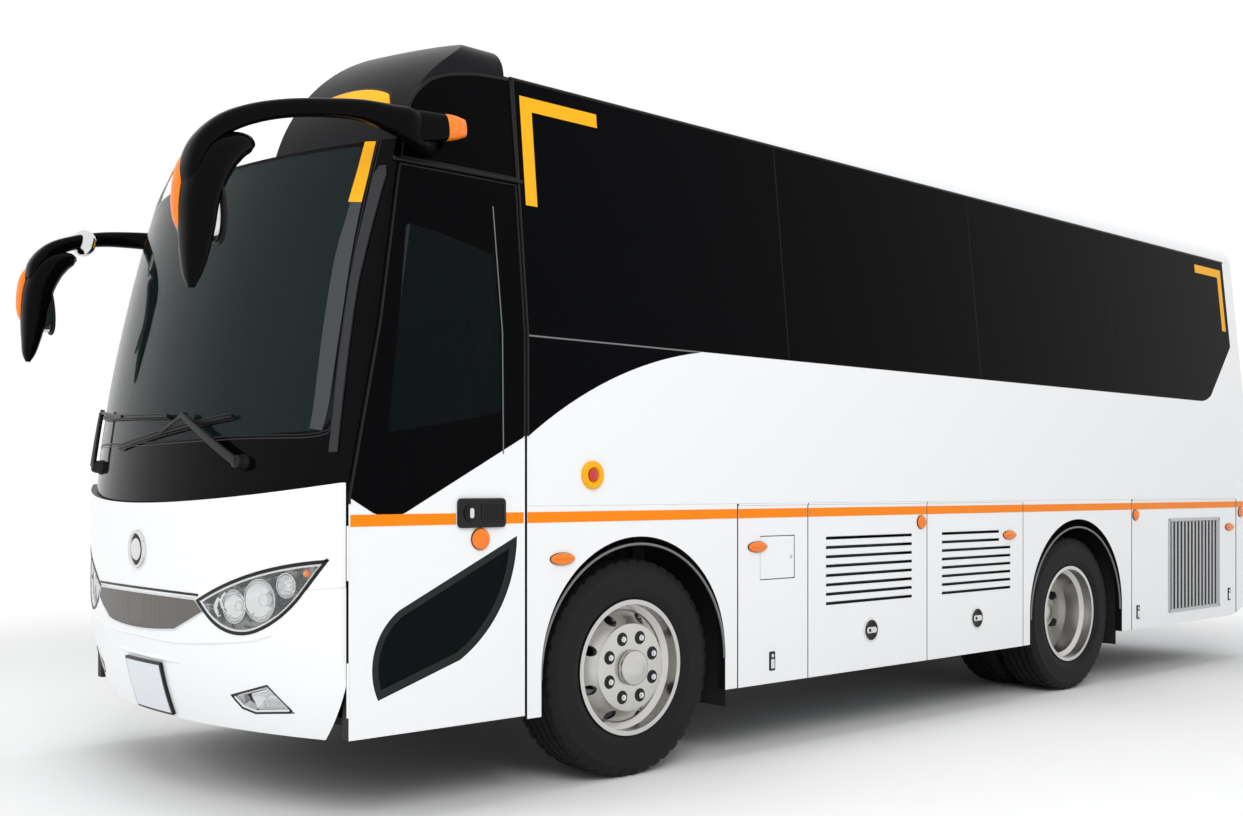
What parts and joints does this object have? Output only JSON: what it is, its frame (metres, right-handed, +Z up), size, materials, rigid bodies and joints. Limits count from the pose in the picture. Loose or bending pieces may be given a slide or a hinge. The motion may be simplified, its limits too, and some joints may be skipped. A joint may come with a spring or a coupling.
{
  "type": "electric bus",
  "caption": "Single-deck battery-electric coach with a bowed screen, swing door, skirt hatches, twin rear wheels and mirror arms.",
  "frame": {"origin": "on the ground under the middle of the coach's outline, mirrors included", "axes": "+X to the coach's left (door) side, +Y to its rear, +Z up"},
  "size_m": [2.5599, 8.3297, 3.15],
  "materials": {
    "white_paint": "gloss white coach paint",
    "black_gloss": "gloss black",
    "tinted_glass": "dark tinted glass",
    "screen_glass": "laminated screen, light green tint",
    "lamp_lens": "clear lens over chrome",
    "tail_lens": "red lens",
    "grille_grey": "dark grey mesh",
    "wiper_black": "matte black",
    "tyre_rubber": "black rubber",
    "rim_silver": "bright silver",
    "chassis_black": "chassis black",
    "motor_grey": "cast housing",
    "battery_grey": "grey case",
    "floor_grey": "floor covering",
    "liner_black": "black liner and flaps",
    "seat_cloth": "dark grey cloth",
    "dash_black": "soft black moulding"
  },
  "bodies": {
    "coach": {"front_bumper": "white_paint", "front_panel": "white_paint", "front_dome": "white_paint", "roof": "white_paint", "rear_wall": "white_paint", "side_wall_left": "white_paint", "side_wall_right": "white_paint", "fenders_left": "white_paint", "fenders_right": "white_paint", "screen_surround": "black_gloss", "dome_caps": "black_gloss", "mirror_left": "black_gloss", "mirror_right": "black_gloss", "side_glass_left": "tinted_glass", "side_glass_right": "tinted_glass", "rear_glass": "tinted_glass", "windscreen": "screen_glass", "front_lamps": "lamp_lens", "tail_lamps": "tail_lens", "grille_bar": "grille_grey", "wipers": "wiper_black", "chassis_frame": "chassis_black", "tow_and_jack_points": "chassis_black", "front_axle": "chassis_black", "rear_axle": "chassis_black", "drive_motor": "motor_grey", "battery_packs": "battery_grey", "floor_deck": "floor_grey", "entrance_steps": "floor_grey", "arch_liners": "liner_black", "passenger_seats": "seat_cloth", "driver_seat": "seat_cloth", "dashboard": "dash_black"},
    "knuckle_left": {"knuckle_left": "chassis_black"},
    "knuckle_right": {"knuckle_right": "chassis_black"},
    "wheel_front_left": {"tyre_front_left": "tyre_rubber", "rim_front_left": "rim_silver"},
    "wheel_front_right": {"tyre_front_right": "tyre_rubber", "rim_front_right": "rim_silver"},
    "wheels_rear_left": {"tyres_rear_left": "tyre_rubber", "rims_rear_left": "rim_silver"},
    "wheels_rear_right": {"tyres_rear_right": "tyre_rubber", "rims_rear_right": "rim_silver"},
    "door": {"door_leaf": "white_paint", "door_glass": "tinted_glass"},
    "charge_hatch": {"charge_hatch_left": "white_paint"},
    "charge_cover": {"charge_flap": "white_paint"},
    "battery_hatch_left_a": {"battery_hatch_left_1": "white_paint"},
    "battery_hatch_left_b": {"battery_hatch_left_2": "white_paint"},
    "rear_hatch_left_body": {"rear_hatch_left": "white_paint"},
    "front_hatch_right_body": {"front_hatch_right": "white_paint"},
    "battery_hatch_right_a": {"battery_hatch_right_1": "white_paint"},
    "battery_hatch_right_b": {"battery_hatch_right_2": "white_paint"},
    "rear_hatch_right_body": {"rear_hatch_right": "white_paint"},
    "rear_lid": {"motor_lid": "white_paint"}
  },
  "joints": [
    {"name": "steer_left", "type": "hinge", "parent": "coach", "child": "knuckle_left", "pos_m": [0.88, -2.0825, 0.479], "axis": [0, 0, 1], "range_deg": [-38, 38]},
    {"name": "steer_right", "type": "hinge", "parent": "coach", "child": "knuckle_right", "pos_m": [-0.88, -2.0825, 0.479], "axis": [0, 0, 1], "range_deg": [-38, 38]},
    {"name": "roll_front_left", "type": "hinge", "parent": "knuckle_left", "child": "wheel_front_left", "pos_m": [1.03, -2.0825, 0.479], "axis": [1, 0, 0], "continuous": true},
    {"name": "roll_front_right", "type": "hinge", "parent": "knuckle_right", "child": "wheel_front_right", "pos_m": [-1.03, -2.0825, 0.479], "axis": [1, 0, 0], "continuous": true},
    {"name": "roll_rear_left", "type": "hinge", "parent": "coach", "child": "wheels_rear_left", "pos_m": [0.865, 1.6675, 0.479], "axis": [1, 0, 0], "continuous": true},
    {"name": "roll_rear_right", "type": "hinge", "parent": "coach", "child": "wheels_rear_right", "pos_m": [-0.865, 1.6675, 0.479], "axis": [1, 0, 0], "continuous": true},
    {"name": "door_swing", "type": "hinge", "parent": "coach", "child": "door", "pos_m": [1.2, -3.5295, 1.2], "axis": [0, 0, -1], "range_deg": [0, 85]},
    {"name": "charge_hatch_lift", "type": "hinge", "parent": "coach", "child": "charge_hatch", "pos_m": [1.2, -1.1995, 1.19], "axis": [0, -1, 0], "range_deg": [0, 85]},
    {"name": "battery_hatch_left_a_lift", "type": "hinge", "parent": "coach", "child": "battery_hatch_left_a", "pos_m": [1.2, -0.4445, 1.19], "axis": [0, -1, 0], "range_deg": [0, 85]},
    {"name": "battery_hatch_left_b_lift", "type": "hinge", "parent": "coach", "child": "battery_hatch_left_b", "pos_m": [1.2, 0.5425, 1.19], "axis": [0, -1, 0], "range_deg": [0, 85]},
    {"name": "rear_hatch_left_lift", "type": "hinge", "parent": "coach", "child": "rear_hatch_left_body", "pos_m": [1.2, 3.1555, 1.19], "axis": [0, -1, 0], "range_deg": [0, 85]},
    {"name": "front_hatch_right_lift", "type": "hinge", "parent": "coach", "child": "front_hatch_right_body", "pos_m": [-1.2, -1.1995, 1.19], "axis": [0, 1, 0], "range_deg": [0, 85]},
    {"name": "battery_hatch_right_a_lift", "type": "hinge", "parent": "coach", "child": "battery_hatch_right_a", "pos_m": [-1.2, -0.4445, 1.19], "axis": [0, 1, 0], "range_deg": [0, 85]},
    {"name": "battery_hatch_right_b_lift", "type": "hinge", "parent": "coach", "child": "battery_hatch_right_b", "pos_m": [-1.2, 0.5425, 1.19], "axis": [0, 1, 0], "range_deg": [0, 85]},
    {"name": "rear_hatch_right_lift", "type": "hinge", "parent": "coach", "child": "rear_hatch_right_body", "pos_m": [-1.2, 3.1555, 1.19], "axis": [0, 1, 0], "range_deg": [0, 85]},
    {"name": "charge_cover_swing", "type": "hinge", "parent": "charge_hatch", "child": "charge_cover", "pos_m": [1.2, -1.2935, 0.934], "axis": [0, 0, -1], "range_deg": [0, 100]},
    {"name": "rear_lid_lift", "type": "hinge", "parent": "coach", "child": "rear_lid", "pos_m": [0, 4.1625, 1.425], "axis": [1, 0, 0], "range_deg": [0, 75]}
  ],
  "couplings": [
    {"joint": "steer_right", "follows": "steer_left", "ratio": 1}
  ]
}
